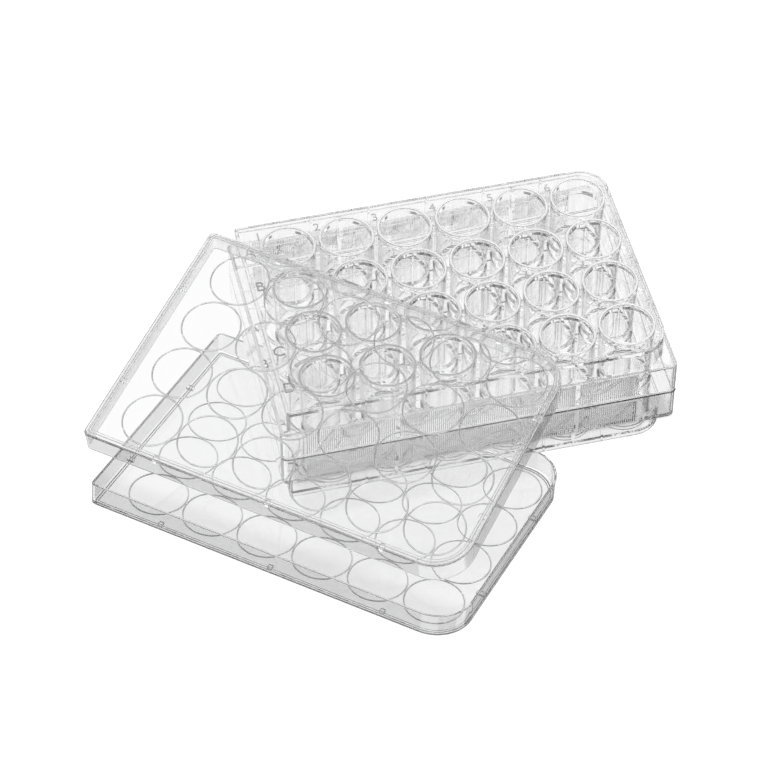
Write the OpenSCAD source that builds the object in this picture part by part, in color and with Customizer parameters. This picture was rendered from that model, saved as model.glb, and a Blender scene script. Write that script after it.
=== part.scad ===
// A 24-well culture plate in clear moulded polystyrene, with its loose lid.
// The plate stands on its skirt. The lid has been taken off and leans on the plate: its panel
// rests on one square corner of the plate's rim, and its back wall rests on the rims of the wells.
// Millimetres. The origin is the middle of the plate's footprint, on the surface that it stands on.
// +X runs along the columns, +Y towards the row at the back, +Z up.

/* [Skirt] */
// Length of the footprint
plate_l = 127.76; // [126:0.01:131]
// Width of the footprint
plate_w = 85.48; // [84.5:0.01:88]
// Height of the ledge that the lid's wall stops above
skirt_h = 11.65; // [9:0.05:13]
// Thickness of the skirt's wall
skirt_wall = 1.3; // [1:0.05:1.6]
// Corner radius of the skirt
foot_r = 2.2; // [1.8:0.1:4]
// Thickness of the ledge between the skirt and the upper wall
ledge_t = 1.2; // [0.8:0.1:2]

/* [Grip panels] */
// Plain stretch of a long side left of its ribbed panel
grip_left = 7.9; // [5:0.1:16]
// Plain stretch of a long side right of its ribbed panel
grip_right = 12.7; // [5:0.1:20]
// Plain band below the ribbed panel
grip_low = 1.2; // [0.8:0.05:2]
// Plain band above the ribbed panel
grip_high = 0.5; // [0.4:0.05:2]
// Depth of the panel
grip_cut = 0.3; // [0.1:0.05:0.4]
// Distance between neighbouring grip ribs
grip_pitch = 0.66; // [0.4:0.01:1]
// Plain gap in the ribs below each side web
grip_gap = 1.2; // [0.5:0.1:3]

/* [Upper wall] */
// How far the upper wall stands in from the skirt at each end
step_x = 2.35; // [2:0.05:2.6]
// How far the upper wall stands in from the skirt at the front and back
step_y = 1.5; // [1.4:0.05:1.9]
// Thickness of the upper wall
upper_wall = 1.1; // [0.9:0.05:1.3]
// Radius of the two square corners, at the left
square_r = 1; // [0.8:0.1:2]
// Radius of the two round corners, at the right, which show which way round the plate is
round_r = 9.5; // [6:0.1:11]
// Rounding of the rim's edges
rim_edge = 0.2; // [0.15:0.05:0.4]

/* [Wells] */
// Distance between neighbouring wells
pitch = 19.3; // [19:0.05:19.4]
// How far the array of wells stands to the right of the middle
array_shift = 2.1; // [0:0.05:2.4]
// Diameter of a well at its mouth
well_d = 16.3; // [15.6:0.05:16.6]
// Diameter of a well at its floor
floor_d = 15.6; // [15:0.05:15.6]
// Depth of a well
well_depth = 17.4; // [15:0.1:17.6]
// Thickness of a well's wall
well_wall = 0.9; // [0.7:0.05:1]
// Thickness of a well's floor
floor_t = 1.2; // [1:0.05:1.5]
// Clear height under the wells
under_clear = 1.66; // [1:0.02:2.5]
// Radius round the edge of a well's floor
floor_round = 0.5; // [0.3:0.05:1]
// Rounding of the edges of a well's flat lip
lip_edge = 0.2; // [0.1:0.05:0.3]

/* [Deck] */
// How far the well rims stand above the perimeter rim
rim_drop = 0.3; // [0.2:0.05:0.6]
// How far the deck lies below the well rims
deck_drop = 1.4; // [1.1:0.05:2]
// Thickness of the deck
deck_t = 1.2; // [0.9:0.05:1.6]
// Thickness of the webs that tie the wells together
web_t = 0.6; // [0.5:0.05:1.2]
// Gap between the webs' feet and the surface the plate stands on
web_clear = 2.2; // [1.8:0.1:5]
// Thickness of the short webs between the outer wells and the long sides
side_web_t = 1.2; // [0.6:0.05:1.6]
// Thickness of the short ribs inside the upper wall
rib_t = 0.7; // [0.5:0.05:1]
// Depth of the short ribs inside the upper wall
rib_d = 0.9; // [0.5:0.05:1]

/* [Lid] */
// Thickness of the lid's panel
panel_t = 1.1; // [0.8:0.05:1.4]
// Thickness of the lid's wall
lid_wall = 0.85; // [0.7:0.05:1.1]
// Depth of the lid's wall below the panel
lid_drop = 6.9; // [6:0.1:7.8]
// Play at each end when the lid is on the plate
play_x = 1.15; // [0.9:0.05:1.4]
// Play at the front and back when the lid is on the plate
play_y = 0.2; // [0.2:0.05:0.4]
// How much more the lid's round corners are rounded inside than the plate's are outside
corner_ease = 2; // [1:0.1:2]
// Radius of the lid's two square corners
lid_square_r = 1.8; // [1.2:0.1:2.4]
// Width of the raised border that locates the next plate of a stack
bead_w = 2.05; // [1.6:0.05:2.6]
// Height of the raised border
bead_h = 0.45; // [0.3:0.05:0.6]
// Rounding of the border's outer edge
bead_r = 0.7; // [0.4:0.05:0.8]
// Gap between neighbouring condensation rings under the panel
ring_gap = 0.1; // [0.05:0.05:0.4]
// Width of a condensation ring
ring_w = 0.5; // [0.4:0.05:0.7]
// Height of a condensation ring
ring_h = 0.35; // [0.25:0.05:0.5]
// Gap between the rings and the wells when the lid is on the plate
ring_clear = 0.25; // [0.15:0.05:0.5]
// Width of the pads that carry the closed lid on the plate's rim
pad_w = 1.5; // [1:0.1:2.5]
// How far the pads reach in from the plate's outer face
pad_reach = 1.2; // [1:0.05:1.3]

/* [Leaning lid] */
// Turn of the lid about the vertical
lid_turn = -39.77; // [-44:0.01:-36]
// Where the plate's corner meets the panel, right of the middle of the ring it is in
touch_right = -1.48; // [-3:0.05:1]
// Where the plate's corner meets the panel, behind the middle of the ring it is in
touch_back = -0.14; // [-1:0.05:1]
// Gap left at each place where the lid rests
seat_gap = 0.05; // [0.02:0.01:0.1]

/* [Hidden] */
$fn = 48;

clear = [0.88, 0.92, 0.93, 0.45];
columns = 6;
rows = 4;
// Small overlap by which features sink into the wall that carries them
sink = 0.3;
// Overlap between the pieces of one section
lap = 0.01;
// Larger than any section
far = 50;

// Heights
well_top = under_clear + floor_t + well_depth;
floor_z = under_clear + floor_t;
rim_top = well_top - rim_drop;
deck_top = well_top - deck_drop;

// Half sizes of the outlines
skirt_hx = plate_l/2;
skirt_hy = plate_w/2;
upper_hx = skirt_hx - step_x;
upper_hy = skirt_hy - step_y;
lid_hx = upper_hx + play_x + lid_wall;
lid_hy = upper_hy + play_y + lid_wall;
lid_round_r = round_r + corner_ease + lid_wall;

// Centres of the wells
col_x = [for (c = [0:columns - 1]) array_shift + (c - (columns - 1)/2)*pitch];
row_y = [for (r = [0:rows - 1]) (r - (rows - 1)/2)*pitch];
// Radius at which the webs start, inside a cup's wall at every height
web_r = (well_d + floor_d)/4 + well_wall/2;

// Edge roundings
foot_edge = 0.4;
cup_edge = 0.15;
skirt_edge = 0.25;
lid_edge = 0.25;
bead_edge = 0.3;

// The closed lid's pads keep its rings clear of the wells
pad_h = rim_drop + ring_h + ring_clear;

// Pose of the leaning lid, in which two things touch: the rounded lip of the rim's square
// corner meets the underside of the panel, and the rounded foot of the lid's back wall meets
// the tops of the wells. Along the lid's own Y and Z, the lip's centre lies at touch_y and
// -(rim_edge + seat_gap), and the foot's centre at foot_y and foot_z.
touch_x = touch_right - pitch/2;
touch_y = touch_back - pitch/2;
foot_y = lid_hy - lid_wall + lid_edge;
foot_z = lid_edge - lid_drop;
run = foot_y - touch_y;
rise = foot_z + rim_edge + seat_gap;
step_up = (well_top + lid_edge + seat_gap) - (rim_top - rim_edge);
lid_tilt = asin(step_up/norm([run, rise])) - atan2(rise, run);
// The rim's square corner at the front left, taken at the centre of its lip
lip_r = square_r - rim_edge;
corner = [square_r - upper_hx + lip_r*sin(lid_turn), square_r - upper_hy - lip_r*cos(lid_turn)];
touch_run = touch_y*cos(lid_tilt) + (rim_edge + seat_gap)*sin(lid_tilt);
lid_at = [
    corner.x - touch_x*cos(lid_turn) + touch_run*sin(lid_turn),
    corner.y - touch_x*sin(lid_turn) - touch_run*cos(lid_turn),
    rim_top - rim_edge - touch_y*sin(lid_tilt) + (rim_edge + seat_gap)*cos(lid_tilt)
];

// ---- Shapes used by both mouldings ----

// A rectangle with two corner radii: rl at the left, rr at the right
module outline(hx, hy, rl, rr) {
    translate([rl - hx, -hy]) square([2*hx - rl - rr, 2*hy]);
    translate([-hx, rl - hy]) square([2*hx - rr, 2*hy - 2*rl]);
    translate([-hx + rl, rr - hy]) square([2*hx - rl, 2*hy - 2*rr]);
    for (y = [-1, 1]) {
        translate([rl - hx, y*(hy - rl)]) circle(rl);
        translate([hx - rr, y*(hy - rr)]) circle(rr);
    }
}

// A straight stretch of wall along +X. Its section's X = 0 is the outer face, towards +Y
module stretch(length) {
    rotate([90, 0, 90]) linear_extrude(length) children();
}

// A quarter turn of the same wall, from +X to +Y, about the middle of a corner
module turn(r) {
    rotate_extrude(angle = 90) intersection() {
        translate([r, 0]) children();
        translate([0, -far]) square([r + far, 2*far]);
    }
}

// A wall of one section all round an outline
module wall_round(hx, hy, rl, rr) {
    translate([rl - hx, hy, 0]) stretch(2*hx - rl - rr) children();
    translate([hx - rr, -hy, 0]) rotate(180) stretch(2*hx - rl - rr) children();
    translate([hx, hy - rr, 0]) rotate(-90) stretch(2*hy - 2*rr) children();
    translate([-hx, rl - hy, 0]) rotate(90) stretch(2*hy - 2*rl) children();
    translate([hx - rr, hy - rr, 0]) turn(rr) children();
    translate([rl - hx, hy - rl, 0]) rotate(90) turn(rl) children();
    translate([rl - hx, rl - hy, 0]) rotate(180) turn(rl) children();
    translate([hx - rr, rr - hy, 0]) rotate(270) turn(rr) children();
}

// A wall's section from z0 to z1, with its outer face at X = 0. The edges at the foot are
// rounded by foot, and those at the top by top.
module wall_section(t, z0, z1, foot, top) {
    translate([-t, z0 + foot]) square([t, z1 - z0 - foot - top]);
    translate([foot - t, z0]) square([t - 2*foot, z1 - z0 - top]);
    translate([top - t, z0 + foot]) square([t - 2*top, z1 - z0 - foot]);
    for (x = [-foot, foot - t]) translate([x, z0 + foot]) circle(foot);
    for (x = [-top, top - t]) translate([x, z1 - top]) circle(top);
}

// ---- Plate ----

// One cup: a closed floor, a wall with draft and a flat lip with rounded edges
module cup() {
    chamfer = floor_round*(1 - cos(45));
    rotate_extrude() {
        difference() {
            polygon([
                [0, under_clear],
                [floor_d/2 + well_wall - cup_edge, under_clear],
                [floor_d/2 + well_wall, under_clear + cup_edge],
                [well_d/2 + well_wall, well_top - lip_edge],
                [0, well_top - lip_edge]
            ]);
            polygon([
                [-1, floor_z],
                [floor_d/2 - floor_round, floor_z],
                [floor_d/2 - chamfer, floor_z + chamfer],
                [floor_d/2, floor_z + floor_round],
                [well_d/2, well_top - lip_edge],
                [well_d/2, well_top],
                [-1, well_top]
            ]);
        }
        translate([well_d/2 + lip_edge, well_top - lip_edge - lap])
            square([well_wall - 2*lip_edge, lip_edge + lap]);
        for (x = [lip_edge, well_wall - lip_edge])
            translate([well_d/2 + x, well_top - lip_edge]) circle(lip_edge);
    }
}

// The deck that the cups hang from, with a hole for each of them
module deck() {
    difference() {
        translate([0, 0, deck_top - deck_t]) linear_extrude(deck_t)
            outline(
                upper_hx - upper_wall + sink, upper_hy - upper_wall + sink,
                square_r, round_r - upper_wall + sink
            );
        for (x = col_x, y = row_y) translate([x, y, deck_top - deck_t - 1])
            cylinder(r = well_d/2 + well_wall/2, h = deck_t + 2);
    }
}

// The ledge that closes the step between the skirt and the upper wall
module ledge() {
    translate([0, 0, skirt_h - ledge_t]) linear_extrude(ledge_t) difference() {
        outline(
            skirt_hx - skirt_wall/2, skirt_hy - skirt_wall/2,
            foot_r - skirt_wall/2, foot_r - skirt_wall/2
        );
        outline(
            upper_hx - upper_wall/2, upper_hy - upper_wall/2,
            square_r/2, round_r - upper_wall/2
        );
    }
}

// Webs between neighbouring cups, under the deck
module webs() {
    gap = pitch - 2*web_r;
    height = deck_top - deck_t/2 - web_clear;
    for (x = col_x, r = [0:rows - 2])
        translate([x - web_t/2, row_y[r] + web_r, web_clear]) cube([web_t, gap, height]);
    for (c = [0:columns - 2], y = row_y)
        translate([col_x[c] + web_r, y - web_t/2, web_clear]) cube([gap, web_t, height]);
}

// Short webs above the ledge, from the outer cups of the second and fifth columns to the
// long sides
module side_webs() {
    start = row_y[rows - 1] + web_r;
    z0 = skirt_h - ledge_t;
    for (x = [col_x[1], col_x[columns - 2]], side = [0, 180])
        translate([x, 0, z0]) rotate(side) translate([-side_web_t/2, start, 0])
            cube([side_web_t, upper_hy - upper_wall + sink - start, deck_top - deck_t/2 - z0]);
}

// Short ribs inside the upper wall, halfway between the wells, from the ledge to the rim
module wall_ribs() {
    z0 = skirt_h - ledge_t;
    height = rim_top - rim_edge - z0;
    reach = rib_d + sink;
    for (r = [0:rows - 2], side = [0, 180])
        rotate(side) translate([upper_hx - upper_wall - rib_d, row_y[r] + pitch/2 - rib_t/2, z0])
            cube([reach, rib_t, height]);
    for (c = [0:columns - 2], side = [-1, 1])
        translate([col_x[c] + pitch/2 - rib_t/2, side*(upper_hy - upper_wall + sink/2 - rib_d/2) - reach/2, z0])
            cube([rib_t, reach, height]);
}

// The shallow panels on the long sides, which are finely ribbed for grip
module grip_panels() {
    for (y = [-1, 1])
        translate([grip_left - skirt_hx, y*skirt_hy - grip_cut, grip_low])
            cube([plate_l - grip_left - grip_right, 2*grip_cut, skirt_h - grip_low - grip_high]);
}

// Fine upright ribs that fill the grip panels, left out below each side web. Each is a sharp
// ridge as high as the panel is deep.
module grip_ribs() {
    length = plate_l - grip_left - grip_right;
    count = floor(length/grip_pitch);
    start = grip_left - skirt_hx + (length - count*grip_pitch)/2;
    end = start + count*grip_pitch;
    gaps = [col_x[1], col_x[columns - 2]];
    ridges = [
        for (i = [0:count - 1])
            let (x = start + i*grip_pitch, top = x + grip_pitch/2)
            let (plain = min([for (g = gaps) abs(top - g)]) < grip_gap/2)
            each plain ? [[x, 0]] : [[x, 0], [top, grip_cut]]
    ];
    for (m = [0, 1]) mirror([0, m, 0])
        translate([0, skirt_hy - grip_cut, grip_low - sink/2])
            linear_extrude(skirt_h - grip_low - grip_high + sink)
                polygon(concat([[start, -sink]], ridges, [[end, 0], [end, -sink]]));
}

// The moulding before its grip panels are sunk into the long sides
module plate_body() {
    wall_round(skirt_hx, skirt_hy, foot_r, foot_r)
        wall_section(skirt_wall, 0, skirt_h, foot_edge, skirt_edge);
    ledge();
    wall_round(upper_hx, upper_hy, square_r, round_r)
        wall_section(upper_wall, skirt_h - ledge_t, rim_top, cup_edge, rim_edge);
    deck();
    for (x = col_x, y = row_y) translate([x, y, 0]) cup();
    webs();
    side_webs();
    wall_ribs();
}

module plate() {
    color(clear) {
        difference() {
            plate_body();
            grip_panels();
        }
        grip_ribs();
    }
}

// ---- Lid ----

// The lid's wall and raised border. The section's Z = 0 is the underside of the panel
module lid_edge_section() {
    top = panel_t + bead_h;
    wall_section(lid_wall, -lid_drop, panel_t/2, lid_edge, lap);
    translate([-bead_w, 0]) square([bead_w, top - bead_r]);
    translate([bead_edge - bead_w, 0]) square([bead_w - bead_edge - bead_r, top]);
    translate([-bead_w, 0]) square([bead_w/2, top - bead_edge]);
    translate([-bead_r, top - bead_r]) circle(bead_r);
    translate([bead_edge - bead_w, top - bead_edge]) circle(bead_edge);
}

// One condensation ring under the panel
module ring() {
    r = (pitch - ring_gap - ring_w)/2;
    rotate_extrude() {
        translate([r - ring_w/2, ring_w/2 - ring_h]) square([ring_w, ring_h]);
        translate([r, ring_w/2 - ring_h]) circle(ring_w/2);
    }
}

// Pads in the corner between wall and panel, which stand on the plate's rim when it is closed
module pads() {
    reach = play_y + pad_reach + sink;
    reach_end = play_x + pad_reach + sink;
    inner_x = lid_hx - lid_wall;
    inner_y = lid_hy - lid_wall;
    for (x = [-2*pitch, 0, 2*pitch], y = [-1, 1])
        translate([x - pad_w/2, y*(inner_y + sink - reach/2) - reach/2, -pad_h])
            cube([pad_w, reach, pad_h + sink]);
    for (y = [-pitch, pitch], x = [-1, 1])
        translate([x*(inner_x + sink - reach_end/2) - reach_end/2, y - pad_w/2, -pad_h])
            cube([reach_end, pad_w, pad_h + sink]);
}

// The lid in its own frame: Z = 0 is the underside of the panel, and X = 0, Y = 0 is the middle
// of its rings, which lie over the wells when it is closed
module lid_moulding() {
    for (x = col_x, y = row_y) translate([x - array_shift, y, 0]) ring();
    translate([-array_shift, 0, 0]) {
        wall_round(lid_hx, lid_hy, lid_square_r, lid_round_r) lid_edge_section();
        linear_extrude(panel_t)
            outline(lid_hx - lid_wall, lid_hy - lid_wall, lid_square_r/2, lid_round_r - lid_wall);
        pads();
    }
}

module lid() {
    color(clear) translate(lid_at) rotate([lid_tilt, 0, lid_turn]) lid_moulding();
}

plate();
lid();
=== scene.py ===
import math

import bmesh
import bpy
from mathutils import Matrix, Vector


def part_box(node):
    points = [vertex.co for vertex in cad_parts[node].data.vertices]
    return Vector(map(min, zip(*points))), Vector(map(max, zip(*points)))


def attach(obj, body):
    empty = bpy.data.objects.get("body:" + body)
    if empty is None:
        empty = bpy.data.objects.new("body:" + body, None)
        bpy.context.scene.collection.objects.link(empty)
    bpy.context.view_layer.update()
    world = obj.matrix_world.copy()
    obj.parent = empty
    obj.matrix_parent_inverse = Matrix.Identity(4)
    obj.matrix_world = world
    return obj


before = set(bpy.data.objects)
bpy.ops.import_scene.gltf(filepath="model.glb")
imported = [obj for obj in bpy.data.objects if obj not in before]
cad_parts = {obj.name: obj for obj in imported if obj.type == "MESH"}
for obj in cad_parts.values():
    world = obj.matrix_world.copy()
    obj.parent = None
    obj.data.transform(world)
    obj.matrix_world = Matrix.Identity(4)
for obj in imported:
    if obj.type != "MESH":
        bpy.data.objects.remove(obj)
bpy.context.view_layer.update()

scene = bpy.context.scene
mm = 0.001


# The well plate: one injection moulding in clear crystal polystyrene, with 24 cups hanging
# under a deck and a skirt round them. It comes off a polished mould, so its faces are glassy,
# with the faint swell of a thin wall and the light rubbing of ware that has been handled.
polystyrene_ior = 1.59
plate_tint = (1.0, 1.0, 1.0)
streak_depth = 0.003
streak_scale = 26.0
mould_polish = 0.006
handling_wear = 0.02
wear_scale = 420.0
swell_strength = 0.15
swell_height = 0.05 * mm
swell_scale = 90.0
stock_colour = (0.88, 0.88, 0.88, 1)
stock_density = 50.0


def new_node(tree, kind, at, **settings):
    node = tree.nodes.new(kind)
    node.location = at
    for name, value in settings.items():
        setattr(node, name, value)
    return node


def noise(tree, at, scale, detail):
    """A noise pattern in the frame's own metres."""
    where = new_node(tree, "ShaderNodeTexCoord", (at[0] - 220, at[1]))
    pattern = new_node(tree, "ShaderNodeTexNoise", at)
    pattern.inputs["Scale"].default_value = scale
    pattern.inputs["Detail"].default_value = detail
    tree.links.new(where.outputs["Object"], pattern.inputs["Vector"])
    return pattern.outputs["Fac"]


def new_polystyrene(name, clearness):
    """A material with polystyrene's index: its tree and its shader are returned with it."""
    material = bpy.data.materials.new(name)
    material.use_nodes = True
    tree = material.node_tree
    shader = tree.nodes["Principled BSDF"]
    shader.inputs["Transmission Weight"].default_value = clearness
    shader.inputs["IOR"].default_value = polystyrene_ior
    return material, tree, shader


def crystal_polystyrene(name, tint):
    """The clear plastic as it comes off the polished steel."""
    material, tree, shader = new_polystyrene(name, clearness=1.0)

    # The melt cools unevenly, so the clear stock is a shade greyer in places.
    shade = new_node(tree, "ShaderNodeValToRGB", (-560, 260))
    greyer, clear = shade.color_ramp.elements
    greyer.position = 0.3
    greyer.color = (*[c - streak_depth for c in tint], 1)
    clear.position = 0.7
    clear.color = (*tint, 1)
    tree.links.new(noise(tree, (-780, 260), streak_scale, 2.0), shade.inputs["Fac"])
    tree.links.new(shade.outputs["Color"], shader.inputs["Base Color"])

    # Handling dulls the polish in small patches.
    rub = new_node(tree, "ShaderNodeMapRange", (-560, 0))
    rub.inputs["From Min"].default_value = 0.45
    rub.inputs["From Max"].default_value = 0.75
    rub.inputs["To Min"].default_value = mould_polish
    rub.inputs["To Max"].default_value = handling_wear
    tree.links.new(noise(tree, (-780, 0), wear_scale, 4.0), rub.inputs["Value"])
    tree.links.new(rub.outputs["Result"], shader.inputs["Roughness"])

    # The swell of a thin wall that has shrunk away from the steel.
    bump = new_node(tree, "ShaderNodeBump", (-300, -280))
    bump.inputs["Strength"].default_value = swell_strength
    bump.inputs["Distance"].default_value = swell_height
    tree.links.new(noise(tree, (-780, -280), swell_scale, 1.0), bump.inputs["Height"])
    tree.links.new(bump.outputs["Normal"], shader.inputs["Normal"])

    # Light that runs along a wall is lost on the way, so edges look darker than faces.
    stock = new_node(tree, "ShaderNodeVolumeAbsorption", (0, -300))
    stock.inputs["Color"].default_value = stock_colour
    stock.inputs["Density"].default_value = stock_density
    tree.links.new(stock.outputs["Volume"], tree.nodes["Material Output"].inputs["Volume"])
    return material


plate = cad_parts["plate"]
plate.data.materials.clear()
plate.data.materials.append(crystal_polystyrene("plate_polystyrene", plate_tint))


# The marks on the deck: the numbers of the columns and the letters of the rows. They are cut
# into the mould, so they stand a little proud of the deck, and come out slightly cloudy.
plate_low, plate_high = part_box("plate")
columns = 6
rows = 4
well_pitch = 19.3 * mm
first_column = plate_low.x + 17.73 * mm
back_row = (rows - 1) / 2 * well_pitch
deck_drop = 1.4 * mm
deck_z = plate_high.z - deck_drop
mark_rise = 0.15 * mm
mark_sink = 0.01 * mm
capital_share = 0.7
number_height = 3.2 * mm
number_from_well = Vector((-8.3, 7.5)) * mm
letter_height = 4.0 * mm
letter_x = plate_low.x + 5.6 * mm
letter_places = (("A", 30.0 * mm), ("B", 14.2 * mm), ("C", -14.5 * mm), ("D", -30.0 * mm))
grain_scale = 900.0
grain_spread = 0.15


def satin_polystyrene(name, tint, roughness, clearness):
    """The same plastic, cloudy, with a fine grain: off an etched face of the mould for the marks; on
    the beads of the edges it carries painted highlights and painted shade.
    """
    material, tree, shader = new_polystyrene(name, clearness)
    shader.inputs["Base Color"].default_value = (*tint, 1)
    etch = new_node(tree, "ShaderNodeMapRange", (-560, 0))
    etch.inputs["To Min"].default_value = roughness
    etch.inputs["To Max"].default_value = roughness + grain_spread
    tree.links.new(noise(tree, (-780, 0), grain_scale, 2.0), etch.inputs["Value"])
    tree.links.new(etch.outputs["Result"], shader.inputs["Roughness"])
    return material


def plain_mesh(name, data, build=None):
    """The mesh that a curve, a text or a built object comes to."""
    source = bpy.data.objects.new(name, data)
    scene.collection.objects.link(source)
    if build:
        build(source)
    drawn = source.evaluated_get(bpy.context.evaluated_depsgraph_get())
    mesh = bpy.data.meshes.new_from_object(drawn)
    bpy.data.objects.remove(source)
    return mesh


def raised_text(text, height, middle):
    """Plain lettering that stands on the deck, its middle at a place."""
    curve = bpy.data.curves.new("mark_" + text, "FONT")
    curve.body = text
    curve.size = height / capital_share
    curve.align_x = "CENTER"
    curve.align_y = "CENTER"
    curve.extrude = (mark_rise + mark_sink) / 2
    curve.resolution_u = 6
    mesh = plain_mesh("mark_" + text, curve)
    mesh.transform(Matrix.Translation((*middle, deck_z + (mark_rise - mark_sink) / 2)))
    return mesh


def joined(name, meshes):
    """One mesh from several, with its doubles merged and its faces turned outwards."""
    merge_distance = 0.001 * mm
    whole = bmesh.new()
    for mesh in meshes:
        whole.from_mesh(mesh)
    bmesh.ops.remove_doubles(whole, verts=whole.verts, dist=merge_distance)
    bmesh.ops.recalc_face_normals(whole, faces=whole.faces)
    mesh = bpy.data.meshes.new(name)
    whole.to_mesh(mesh)
    whole.free()
    return mesh


def new_piece(name, mesh, material):
    mesh.name = name
    mesh.materials.clear()
    mesh.materials.append(material)
    piece = bpy.data.objects.new(name, mesh)
    scene.collection.objects.link(piece)
    return piece


marks = []
for column in range(columns):
    well = Vector((first_column + column * well_pitch, back_row))
    marks.append(raised_text(str(column + 1), number_height, well + number_from_well))
for letter, y in letter_places:
    marks.append(raised_text(letter, letter_height, (letter_x, y)))
etched = satin_polystyrene(
    "etched_polystyrene", tint=(0.88, 0.88, 0.88), roughness=0.35, clearness=0.45
)
well_marks = new_piece("well_marks", joined("well_marks", marks), etched)
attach(well_marks, "root")


# The lips of the wells: each cup ends in a fine rounded bead where the mould parts. It stands on
# the middle of the flat lip. Its finish of opaque white satin is a painted highlight: it draws the
# pale ring that the clear lip's glint makes.
lip_bead = 0.32 * mm
lip_middle = 8.6 * mm
lip_flatness = 0.3
ring_segments = 72
bead_segments = 10


def math_node(tree, operation, at, *values):
    node = new_node(tree, "ShaderNodeMath", at, operation=operation)
    for socket, value in zip(node.inputs, values):
        if isinstance(value, (int, float)):
            socket.default_value = value
        else:
            tree.links.new(value, socket)
    return node.outputs[0]


def new_bead_tree(material):
    """Rings on a grid: a round bead swept round a circle, repeated at the wells."""
    tree = bpy.data.node_groups.new("lip_beads", "GeometryNodeTree")
    link = tree.links.new
    sizes = {}
    for name in ("Pitch", "Ring radius", "Bead radius", "Flatness", "First column", "Height"):
        sizes[name] = tree.interface.new_socket(
            name, in_out="INPUT", socket_type="NodeSocketFloat"
        )
    tree.interface.new_socket("Geometry", in_out="OUTPUT", socket_type="NodeSocketGeometry")
    given = new_node(tree, "NodeGroupInput", (-900, 0)).outputs
    made = new_node(tree, "NodeGroupOutput", (900, 0))

    # One ring: a flattened bead swept round a circle
    path = new_node(tree, "GeometryNodeCurvePrimitiveCircle", (-600, 200))
    path.inputs["Resolution"].default_value = ring_segments
    link(given["Ring radius"], path.inputs["Radius"])
    bead = new_node(tree, "GeometryNodeCurvePrimitiveCircle", (-600, 0))
    bead.inputs["Resolution"].default_value = bead_segments
    link(given["Bead radius"], bead.inputs["Radius"])
    press = new_node(tree, "ShaderNodeCombineXYZ", (-600, -200))
    press.inputs["X"].default_value = 1.0
    press.inputs["Z"].default_value = 1.0
    link(given["Flatness"], press.inputs["Y"])
    flat = new_node(tree, "GeometryNodeTransform", (-450, 0))
    link(bead.outputs["Curve"], flat.inputs["Geometry"])
    link(press.outputs["Vector"], flat.inputs["Scale"])
    sweep = new_node(tree, "GeometryNodeCurveToMesh", (-300, 150))
    link(path.outputs["Curve"], sweep.inputs["Curve"])
    link(flat.outputs["Geometry"], sweep.inputs["Profile Curve"])

    # The grid of the wells, its first column and its height put in place
    grid = new_node(tree, "GeometryNodeMeshGrid", (-300, -150))
    for axis, count in (("X", columns), ("Y", rows)):
        length = math_node(tree, "MULTIPLY", (-500, -250), given["Pitch"], count - 1)
        grid.inputs["Vertices " + axis].default_value = count
        link(length, grid.inputs["Size " + axis])
    middle = math_node(
        tree, "MULTIPLY_ADD", (-300, -400), given["Pitch"], (columns - 1) / 2, given["First column"]
    )
    place = new_node(tree, "ShaderNodeCombineXYZ", (-100, -300))
    link(middle, place.inputs["X"])
    link(given["Height"], place.inputs["Z"])
    moved = new_node(tree, "GeometryNodeTransform", (0, -100))
    link(grid.outputs["Mesh"], moved.inputs["Geometry"])
    link(place.outputs["Vector"], moved.inputs["Translation"])

    repeat = new_node(tree, "GeometryNodeInstanceOnPoints", (200, 0))
    link(moved.outputs["Geometry"], repeat.inputs["Points"])
    link(sweep.outputs["Mesh"], repeat.inputs["Instance"])
    real = new_node(tree, "GeometryNodeRealizeInstances", (400, 0))
    link(repeat.outputs["Instances"], real.inputs["Geometry"])
    smooth = new_node(tree, "GeometryNodeSetShadeSmooth", (550, 0))
    link(real.outputs["Geometry"], smooth.inputs["Geometry"])
    coat = new_node(tree, "GeometryNodeSetMaterial", (700, 0))
    coat.inputs["Material"].default_value = material
    link(smooth.outputs["Geometry"], coat.inputs["Geometry"])
    link(coat.outputs["Geometry"], made.inputs["Geometry"])
    return tree, sizes


def ring_beads(name, material, *given):
    """A plain mesh of the rings: given are the tree's sizes, in the order of its inputs."""
    tree, sizes = new_bead_tree(material)

    def grow(holder):
        beads = holder.modifiers.new("beads", "NODES")
        beads.node_group = tree
        for socket, value in zip(sizes.values(), given):
            beads[socket.identifier] = value

    return plain_mesh(name, bpy.data.meshes.new(name), grow)


# Opaque white satin: the painted highlight of the well lips and of the lid's crest.
highlight_satin = satin_polystyrene(
    "satin_polystyrene", tint=(1.0, 1.0, 1.0), roughness=0.4, clearness=0.0
)
lip_mesh = ring_beads(
    "well_highlight_beads", highlight_satin,
    well_pitch, lip_middle, lip_bead, lip_flatness, first_column, plate_high.z,
)
well_highlight_beads = new_piece("well_highlight_beads", lip_mesh, highlight_satin)
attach(well_highlight_beads, "root")


# The lid: a shallow tray of the same plastic, a little greyer, with a ring under it for each
# cup. It leans on the plate: the foot of its back wall stands on the wells, its panel lies
# over a corner of the plate's rim, and its front hangs free.
lid_tint = (0.918, 0.919, 0.92)
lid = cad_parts["lid"]
lid.data.materials.clear()
lid.data.materials.append(crystal_polystyrene("lid_polystyrene", lid_tint))


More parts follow.
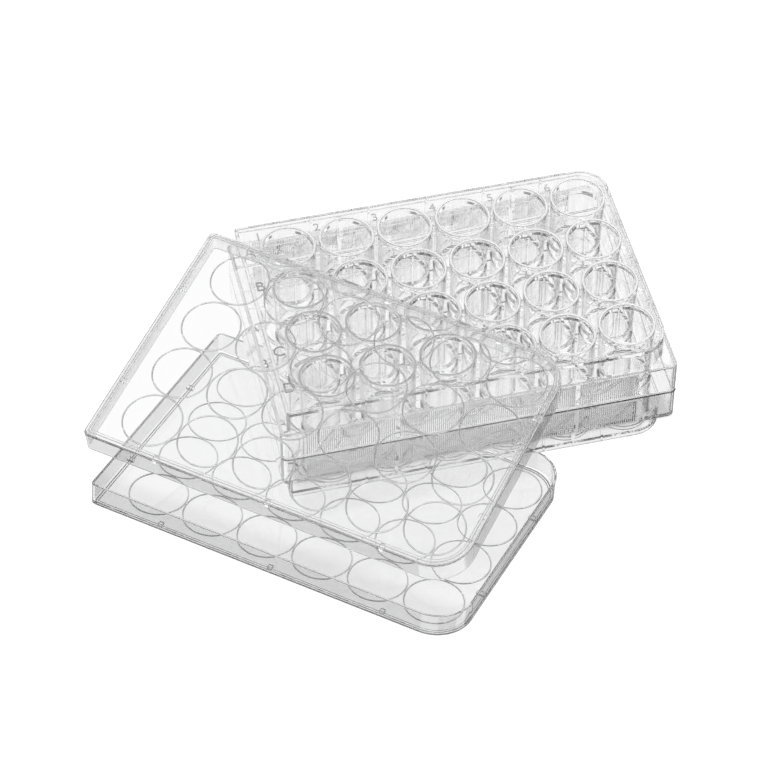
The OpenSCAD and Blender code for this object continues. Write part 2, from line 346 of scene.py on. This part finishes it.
# The tips of the lid's rings and the inner edge of its raised border, both sharp in the mould.
# Beads of half-clear grey plastic along them are painted shade: they draw the fine grey lines
# that these edges make in the clear panel. The crest of the border is rounded, and a bead of
# opaque white satin on it is a painted highlight: a pale line beside them.
lid_turn = math.radians(-39.77)
lid_tilt = math.radians(7.97)
lid_seat = Vector((-46.307, -40.549, 21.365)) * mm
tip_radius = 9.35 * mm
tip_bead = 0.05 * mm
tip_flatness = 1.0
tip_z = -0.32 * mm
lid_first_column = -(columns - 1) / 2 * well_pitch
lid_half = Vector((63.53, 42.29)) * mm
lid_middle_x = -2.1 * mm
lid_round = 12.35 * mm
lid_square = 0.9 * mm
corner_steps = 12
edge_inset = 2.05 * mm
edge_z = 1.5 * mm
edge_bead = 0.08 * mm
crest_inset = 1.3 * mm
crest_z = 1.37 * mm
crest_bead = 0.2 * mm

# The lid's own frame: turned about the upright, then tilted, with Z square to its panel
lid_frame = (
    Matrix.Translation(lid_seat)
    @ Matrix.Rotation(lid_turn, 4, "Z")
    @ Matrix.Rotation(lid_tilt, 4, "X")
)


def border_line(name, inset, height, radius):
    """A fine bead that follows the lid's border, a given way in from its outer face."""
    curve = bpy.data.curves.new(name, "CURVE")
    curve.dimensions = "3D"
    curve.bevel_depth = radius
    curve.bevel_resolution = 2
    half = lid_half - Vector((inset, inset))
    turns = []
    for x_side, y_side, corner_radius, start in (
        (1, 1, lid_round - inset, 0),
        (-1, 1, lid_square, 90),
        (-1, -1, lid_square, 180),
        (1, -1, lid_round - inset, 270),
    ):
        middle_x = lid_middle_x + x_side * (half.x - corner_radius)
        middle_y = y_side * (half.y - corner_radius)
        for step in range(corner_steps + 1):
            angle = math.radians(start + 90 / corner_steps * step)
            x = middle_x + corner_radius * math.cos(angle)
            y = middle_y + corner_radius * math.sin(angle)
            turns.append((x, y, height, 1))
    spline = curve.splines.new("POLY")
    spline.points.add(len(turns) - 1)
    for point, at in zip(spline.points, turns):
        point.co = at
    spline.use_cyclic_u = True
    return plain_mesh(name, curve)


# Half-clear grey plastic for the painted shade lines of the rings' tips and the border's edge.
shade_line = satin_polystyrene(
    "shade_line_polystyrene", tint=(0.85, 0.85, 0.85), roughness=0.35, clearness=0.5
)
tip_mesh = ring_beads(
    "lid_tips", shade_line,
    well_pitch, tip_radius, tip_bead, tip_flatness, lid_first_column, tip_z,
)
edge_mesh = border_line("border_edge", edge_inset, edge_z, edge_bead)
crest_mesh = border_line("border_crest", crest_inset, crest_z, crest_bead)
crest_mesh.transform(lid_frame)
# The crest's bead carries the painted highlight.
lid_shine = new_piece("lid_shine", crest_mesh, highlight_satin)
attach(lid_shine, "root")
line_mesh = joined("lid_lines", (tip_mesh, edge_mesh))
line_mesh.transform(lid_frame)
lid_lines = new_piece("lid_lines", line_mesh, shade_line)
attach(lid_lines, "root")


# The table: a polished white sheet that the plate stands on and mirrors in. Its colour has a
# painted shadow: it is painted darker where the plate and the lid keep the light off it.
table_reach = 3.0
table_z = -0.02 * mm
foot_round = 2.2 * mm
contact_core = 0.2 * mm
contact_reach = 0.55 * mm
# How dark the painted contact shadow and the painted shade of the plate and the lid are
contact_shadow_dark = 0.75
plate_shadow_dark = 0.38
plate_shadow_pale = 0.1
lid_shadow_dark = 0.12
lid_front = Vector((-0.634, -0.774, 0))
lid_front_edge = Vector((-25.3, -111.3, 0)) * mm

table_mesh = bpy.data.meshes.new("table")
table_corners = [(-1, -1), (1, -1), (1, 1), (-1, 1)]
table_mesh.from_pydata(
    [(x * table_reach, y * table_reach, table_z) for x, y in table_corners], [], [(0, 1, 2, 3)]
)
table = bpy.data.objects.new("table", table_mesh)
scene.collection.objects.link(table)

gloss_white = bpy.data.materials.new("polished_white")
gloss_white.use_nodes = True
finish = gloss_white.node_tree
sheet = finish.nodes["Principled BSDF"]
sheet.inputs["Metallic"].default_value = 1.0
sheet.inputs["Roughness"].default_value = 0.0
place = new_node(finish, "ShaderNodeTexCoord", (-1700, 0))
split = new_node(finish, "ShaderNodeSeparateXYZ", (-1500, 0))
finish.links.new(place.outputs["Object"], split.inputs["Vector"])


def ramp(tree, at, value, start, end, low, high):
    """A smooth step from low at start to high at end."""
    node = new_node(tree, "ShaderNodeMapRange", at, interpolation_type="SMOOTHSTEP")
    tree.links.new(value, node.inputs["Value"])
    node.inputs["From Min"].default_value = start
    node.inputs["From Max"].default_value = end
    node.inputs["To Min"].default_value = low
    node.inputs["To Max"].default_value = high
    return node.outputs["Result"]


# How far a point lies outside the foot of the skirt, whose corners are rounded
corner = new_node(finish, "ShaderNodeCombineXYZ", (-700, 0))
for axis, y, half in (("X", 100, plate_high.x), ("Y", -100, plate_high.y)):
    from_middle = math_node(finish, "ABSOLUTE", (-1300, y), split.outputs[axis])
    past_arc = math_node(finish, "SUBTRACT", (-1100, y), from_middle, half - foot_round)
    finish.links.new(math_node(finish, "MAXIMUM", (-900, y), past_arc, 0.0), corner.inputs[axis])
away = new_node(finish, "ShaderNodeVectorMath", (-500, 0), operation="LENGTH")
finish.links.new(corner.outputs["Vector"], away.inputs[0])
outside = math_node(finish, "SUBTRACT", (-300, 0), away.outputs["Value"], foot_round)

# The painted contact shadow: a dark line painted where the front of the foot meets the table
from_foot = math_node(finish, "ABSOLUTE", (-200, 0), outside)
line = ramp(finish, (-100, 0), from_foot, contact_core, contact_reach, contact_shadow_dark, 0.0)
in_front = ramp(finish, (-100, 200), split.outputs["Y"], -41 * mm, -42 * mm, 0.0, 1.0)
line = math_node(finish, "MULTIPLY", (0, 100), line, in_front)
contact = math_node(finish, "SUBTRACT", (100, 100), 1.0, line)

# The painted shade that falls towards the front from the plate and from the lid
front = plate_low.y
left, right = plate_low.x, plate_high.x
outer = ramp(
    finish, (-300, -300), split.outputs["Y"], front - 11 * mm, front - 9 * mm, plate_shadow_pale, plate_shadow_dark
)
inner = ramp(finish, (-300, -500), split.outputs["Y"], front, front + 1 * mm, 0.0, -plate_shadow_dark)
plate_shade = math_node(finish, "ADD", (0, -300), outer, inner)
for axis, start, end, low, high, x in (
    ("Y", front - 26 * mm, front - 20 * mm, 0.0, 1.0, 100),
    ("X", left, left + 4 * mm, 0.0, 1.0, 200),
    ("X", right - 6 * mm, right - 2 * mm, 1.0, 0.0, 300),
):
    fade = ramp(finish, (x, -600), split.outputs[axis], start, end, low, high)
    plate_shade = math_node(finish, "MULTIPLY", (x, -300), plate_shade, fade)
ahead = new_node(finish, "ShaderNodeVectorMath", (-1300, -700), operation="DOT_PRODUCT")
finish.links.new(place.outputs["Object"], ahead.inputs[0])
ahead.inputs[1].default_value = lid_front
edge = lid_front_edge.dot(lid_front)
lid_shade = ramp(
    finish, (-1100, -700), ahead.outputs["Value"], edge - 4 * mm, edge + 3 * mm, 0.0, 1.0
)
lid_shade = math_node(finish, "MULTIPLY", (300, -600), lid_shade, lid_shadow_dark)
shade = math_node(finish, "MAXIMUM", (400, -400), plate_shade, lid_shade)
lit = math_node(finish, "SUBTRACT", (500, -300), 1.0, shade)
# The table's colour: white, with the painted contact shadow and the painted shade
painted_shade_tone = math_node(finish, "MULTIPLY", (700, -100), contact, lit)
grey = new_node(finish, "ShaderNodeCombineColor", (900, -100))
for channel in ("Red", "Green", "Blue"):
    finish.links.new(painted_shade_tone, grey.inputs[channel])
finish.links.new(grey.outputs["Color"], sheet.inputs["Base Color"])
table_mesh.materials.append(gloss_white)


# The studio: a pale room, lit from behind the camera's left shoulder and falling to grey
# behind the plate's right end, with cards that draw the edges of clear plastic.
wall_middle = 1.39
wall_fall = 1.64
wall_rise = 0.38
dark_end = 44.4
darkest = 0.25
brightest = 1.2
backdrop_white = 1.25

# Round cards with soft edges. Each row gives the bearing of a card's middle, clockwise from
# the back, and its height above the table, the half angles of its core and of its soft edge,
# all in degrees, and its level. A later card covers an earlier one.
cards = (
    (64, 35, 21, 24, darkest),  # behind the right end
    (90, 47, 8, 12, darkest),  # right
    (243, 38, 8, 11, darkest),  # left, towards the front
    (155, 44, 10, 15, darkest),  # in front, towards the right
    (271, 64, 3, 9, darkest),  # left, high
    (348, 58, 16, 20, darkest),  # behind, high
    (176, 43, 5, 13, darkest),  # in front
    (167, 48, 5, 9, 0.7),  # in front, right of the camera
    (193, 48, 5, 9, 0.7),  # round the camera
    (11, 47, 20, 25, 1.0),  # behind, where the camera's view mirrored in the table ends
    (0, 62, 6, 10, 1.6),  # behind, high: the brightest
)


def bearing(azimuth, height):
    """Unit vector: azimuth in degrees clockwise from +Y, height above the table."""
    a, h = math.radians(azimuth), math.radians(height)
    return Vector((math.sin(a) * math.cos(h), math.cos(a) * math.cos(h), math.sin(h)))


world = bpy.data.worlds.new("studio")
scene.world = world
world.use_nodes = True
world.cycles.sampling_method = "NONE"
sky = world.node_tree
sky.nodes.clear()
output = new_node(sky, "ShaderNodeOutputWorld", (2100, 0))
background = new_node(sky, "ShaderNodeBackground", (1900, 0))
background.inputs["Color"].default_value = (1, 1, 1, 1)
sky.links.new(background.outputs["Background"], output.inputs["Surface"])
direction = new_node(sky, "ShaderNodeTexCoord", (-900, 0))


def towards(vector, at):
    """How far a direction of the room agrees with a vector."""
    node = new_node(sky, "ShaderNodeVectorMath", at, operation="DOT_PRODUCT")
    sky.links.new(direction.outputs["Generated"], node.inputs[0])
    node.inputs[1].default_value = vector
    return node.outputs["Value"]


wall_slope = Vector((0, 0, wall_rise)) - bearing(dark_end, 0) * wall_fall
level = math_node(sky, "ADD", (-500, 0), wall_middle, towards(wall_slope, (-700, 0)))
level = math_node(sky, "MINIMUM", (-450, 0), level, brightest)
level = math_node(sky, "MAXIMUM", (-400, 0), level, darkest)
for i, (azimuth, height, core, whole, card_level) in enumerate(cards):
    x = -200 + 250 * i
    near = towards(bearing(azimuth, height), (x, -500))
    card_edge = math.cos(math.radians(whole))
    core_edge = math.cos(math.radians(core))
    mixed = new_node(sky, "ShaderNodeMix", (x, 0), data_type="FLOAT")
    spread = ramp(sky, (x, -300), near, card_edge, core_edge, 0.0, 1.0)
    sky.links.new(spread, mixed.inputs["Factor"])
    sky.links.new(level, mixed.inputs["A"])
    mixed.inputs["B"].default_value = card_level
    level = mixed.outputs["Result"]

# Past the table the room is plain white, seen straight or once in the table's polish.
path = new_node(sky, "ShaderNodeLightPath", (900, 500))
outside_plastic = math_node(
    sky, "LESS_THAN", (1100, 500), path.outputs["Transmission Depth"], 0.5
)
one_mirror = math_node(sky, "LESS_THAN", (1100, 400), path.outputs["Ray Depth"], 2.5)
polish = math_node(sky, "MULTIPLY", (1300, 400), path.outputs["Is Singular Ray"], one_mirror)
seen = math_node(sky, "MAXIMUM", (1400, 500), path.outputs["Is Camera Ray"], polish)
plain = math_node(sky, "MULTIPLY", (1500, 400), outside_plastic, seen)
shown = new_node(sky, "ShaderNodeMix", (1700, 200), data_type="FLOAT")
sky.links.new(plain, shown.inputs["Factor"])
sky.links.new(level, shown.inputs["A"])
shown.inputs["B"].default_value = backdrop_white
sky.links.new(shown.outputs["Result"], background.inputs["Strength"])

# Light crosses many clear walls before it leaves the plate.
most_walls = 128
scene.view_settings.view_transform = "Standard"
scene.cycles.max_bounces = most_walls
scene.cycles.transmission_bounces = most_walls
scene.cycles.glossy_bounces = most_walls
scene.cycles.caustics_reflective = True
scene.cycles.caustics_refractive = True


# The camera looks down on the front of the plate from a little to its left, level but for
# a slight roll.
camera_back = bearing(180 + 12.918, 48.265)
camera_aim = Vector((-25.651, -18.315, 0)) * mm
camera_distance = 1016.543 * mm
camera_roll = math.radians(-0.393)
camera_data = bpy.data.cameras.new("camera")
camera_data.sensor_width = 36.0
camera_data.lens = 150.065
camera_data.clip_start = 0.02
camera_data.clip_end = 30.0
camera = bpy.data.objects.new("camera", camera_data)
scene.collection.objects.link(camera)
scene.camera = camera
camera.matrix_world = (
    Matrix.Translation(camera_aim + camera_back * camera_distance)
    @ (-camera_back).to_track_quat("-Z", "Y").to_matrix().to_4x4()
    @ Matrix.Rotation(camera_roll, 4, "Z")
)
